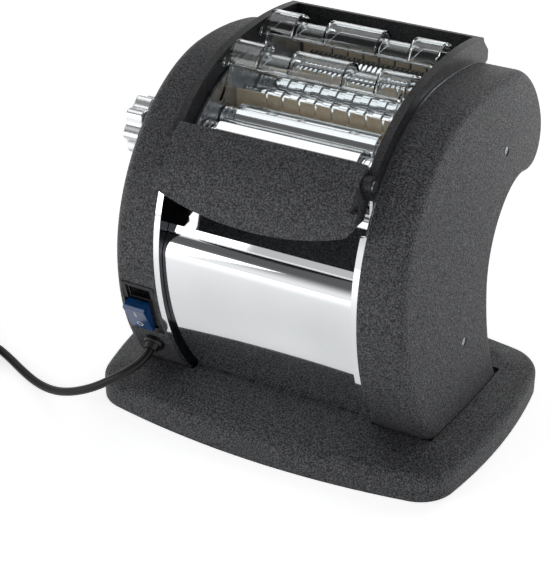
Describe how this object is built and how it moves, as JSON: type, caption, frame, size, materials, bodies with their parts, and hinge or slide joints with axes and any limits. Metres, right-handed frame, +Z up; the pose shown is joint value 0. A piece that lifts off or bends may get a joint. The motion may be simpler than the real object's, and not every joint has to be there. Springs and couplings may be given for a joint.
{
  "type": "electric pasta maker",
  "caption": "Countertop electric pasta machine with smooth rollers, wide and fine cutters, thickness dial, rocker switch, hinged guard and clear flaps on a broad base.",
  "frame": {"origin": "on the surface it stands on, under the middle of the whole machine without its cord", "axes": "+X along the rollers to the right of the front, +Y to the rear, +Z up"},
  "size_m": [0.5386, 0.3002, 0.283],
  "materials": {
    "black_abs": "fine spark-eroded grain, soft sheen",
    "chrome_steel": "mirror",
    "steel": "ground",
    "plated_steel": "satin",
    "clear_plastic": "clear, polished",
    "ivory_plastic": "satin",
    "gear_plastic": "satin",
    "satin_zinc": "satin silver on a zinc casting",
    "blue_plastic": "gloss, translucent look",
    "switch_plastic": "soft gloss",
    "foot_rubber": "matt",
    "cord_pvc": "soft sheen",
    "grey_rubber": "matt",
    "motor_steel": "satin",
    "winding": "lacquered",
    "lamination": "oiled"
  },
  "bodies": {
    "frame": {"base_tray": "black_abs", "bottom_plate": "plated_steel", "rubber_feet": "foot_rubber", "cover_left": "black_abs", "cover_right": "black_abs", "cover_screws": "plated_steel", "cheek_left": "chrome_steel", "cheek_right": "chrome_steel", "drum_panel": "chrome_steel", "chute_plate": "chrome_steel", "hood": "black_abs", "rear_panel": "chrome_steel", "tail_panel": "chrome_steel", "roller_plate_left": "chrome_steel", "roller_plate_right": "chrome_steel", "roller_bushes": "ivory_plastic", "tie_rods": "steel", "comb_wide": "ivory_plastic", "comb_fine": "ivory_plastic", "scrapers": "ivory_plastic", "gear_axles": "steel", "gearbox_plate": "plated_steel", "motor_case": "motor_steel", "motor_stator": "winding", "motor_bracket": "plated_steel", "guard_pins": "steel", "switch_bezel": "switch_plastic", "cord_gland": "grey_rubber", "cord_run": "cord_pvc", "cord_coil": "cord_pvc", "cord_plug": "cord_pvc", "plug_pins": "steel"},
    "guard": {"guard_frame": "black_abs"},
    "front_flap": {"flap_front": "clear_plastic"},
    "rear_flap": {"flap_rear": "clear_plastic"},
    "front_roller": {"roller_smooth_front": "chrome_steel", "gear_smooth_front": "steel"},
    "carrier": {"bearing_blocks": "steel"},
    "rear_roller": {"roller_smooth_rear": "chrome_steel", "gear_smooth_rear": "steel"},
    "wide_cutter_front": {"cutter_wide_front": "chrome_steel", "gear_wide_front": "gear_plastic"},
    "wide_cutter_rear": {"cutter_wide_rear": "chrome_steel", "gear_wide_rear": "gear_plastic"},
    "fine_cutter_front": {"cutter_fine_front": "chrome_steel", "gear_fine_front": "gear_plastic"},
    "fine_cutter_rear": {"cutter_fine_rear": "chrome_steel", "gear_fine_rear": "gear_plastic"},
    "idler": {"gear_idler": "gear_plastic"},
    "reduction": {"gear_reduction": "gear_plastic"},
    "motor": {"motor_shaft": "steel", "motor_rotor": "lamination", "motor_fan": "gear_plastic", "gear_motor_pinion": "steel"},
    "dial": {"dial_shaft": "steel"},
    "grip": {"knob": "satin_zinc"},
    "rocker": {"switch_rocker": "blue_plastic"}
  },
  "joints": [
    {"name": "guard_hinge", "type": "hinge", "parent": "frame", "child": "guard", "pos_m": [0, -0.09205, 0.2335], "axis": [1, 0, 0], "range_deg": [0, 80]},
    {"name": "front_flap_hinge", "type": "hinge", "parent": "guard", "child": "front_flap", "pos_m": [0, -0.03005, 0.269], "axis": [-1, 0, 0], "range_deg": [0, 40]},
    {"name": "rear_flap_hinge", "type": "hinge", "parent": "guard", "child": "rear_flap", "pos_m": [0, 0.02445, 0.273], "axis": [-1, 0, 0], "range_deg": [0, 40]},
    {"name": "front_roller_turn", "type": "hinge", "parent": "frame", "child": "front_roller", "pos_m": [0, -0.05905, 0.2255], "axis": [1, 0, 0], "continuous": true},
    {"name": "gap_slide", "type": "slide", "parent": "frame", "child": "carrier", "axis": [0, 1, 0], "range_m": [0, 0.0018]},
    {"name": "rear_roller_turn", "type": "hinge", "parent": "carrier", "child": "rear_roller", "pos_m": [0, -0.03105, 0.2255], "axis": [1, 0, 0], "continuous": true},
    {"name": "wide_cutter_front_turn", "type": "hinge", "parent": "frame", "child": "wide_cutter_front", "pos_m": [0, -0.00005, 0.2285], "axis": [1, 0, 0], "continuous": true},
    {"name": "wide_cutter_rear_turn", "type": "hinge", "parent": "frame", "child": "wide_cutter_rear", "pos_m": [0, 0.02395, 0.2285], "axis": [1, 0, 0], "continuous": true},
    {"name": "fine_cutter_front_turn", "type": "hinge", "parent": "frame", "child": "fine_cutter_front", "pos_m": [0, 0.0533, 0.2285], "axis": [1, 0, 0], "continuous": true},
    {"name": "fine_cutter_rear_turn", "type": "hinge", "parent": "frame", "child": "fine_cutter_rear", "pos_m": [0, 0.0773, 0.2285], "axis": [1, 0, 0], "continuous": true},
    {"name": "idler_turn", "type": "hinge", "parent": "frame", "child": "idler", "pos_m": [0, -0.02894, 0.19206], "axis": [1, 0, 0], "continuous": true},
    {"name": "reduction_turn", "type": "hinge", "parent": "frame", "child": "reduction", "pos_m": [0, -0.05362, 0.15808], "axis": [1, 0, 0], "continuous": true},
    {"name": "motor_turn", "type": "hinge", "parent": "frame", "child": "motor", "pos_m": [0, -0.05551, 0.10411], "axis": [1, 0, 0], "continuous": true},
    {"name": "dial_turn", "type": "hinge", "parent": "frame", "child": "dial", "pos_m": [0, -0.03505, 0.207], "axis": [1, 0, 0], "range_deg": [0, 180]},
    {"name": "dial_pull", "type": "slide", "parent": "dial", "child": "grip", "axis": [-1, 0, 0], "range_m": [0, 0.004], "stiffness_N_per_m": 800},
    {"name": "switch_press", "type": "hinge", "parent": "frame", "child": "rocker", "pos_m": [-0.1006, -0.10218, 0.09166], "axis": [-1, 0, 0], "range_deg": [0, 24]}
  ],
  "couplings": [
    {"joint": "reduction_turn", "follows": "motor_turn", "ratio": -0.2},
    {"joint": "idler_turn", "follows": "motor_turn", "ratio": 0.066667},
    {"joint": "front_roller_turn", "follows": "motor_turn", "ratio": -0.15556},
    {"joint": "rear_roller_turn", "follows": "motor_turn", "ratio": 0.15556},
    {"joint": "wide_cutter_front_turn", "follows": "motor_turn", "ratio": -0.14},
    {"joint": "wide_cutter_rear_turn", "follows": "motor_turn", "ratio": 0.14},
    {"joint": "fine_cutter_front_turn", "follows": "motor_turn", "ratio": -0.14},
    {"joint": "fine_cutter_rear_turn", "follows": "motor_turn", "ratio": 0.14},
    {"joint": "dial_turn", "follows": "gap_slide", "rad_per_m": 1745.3}
  ]
}
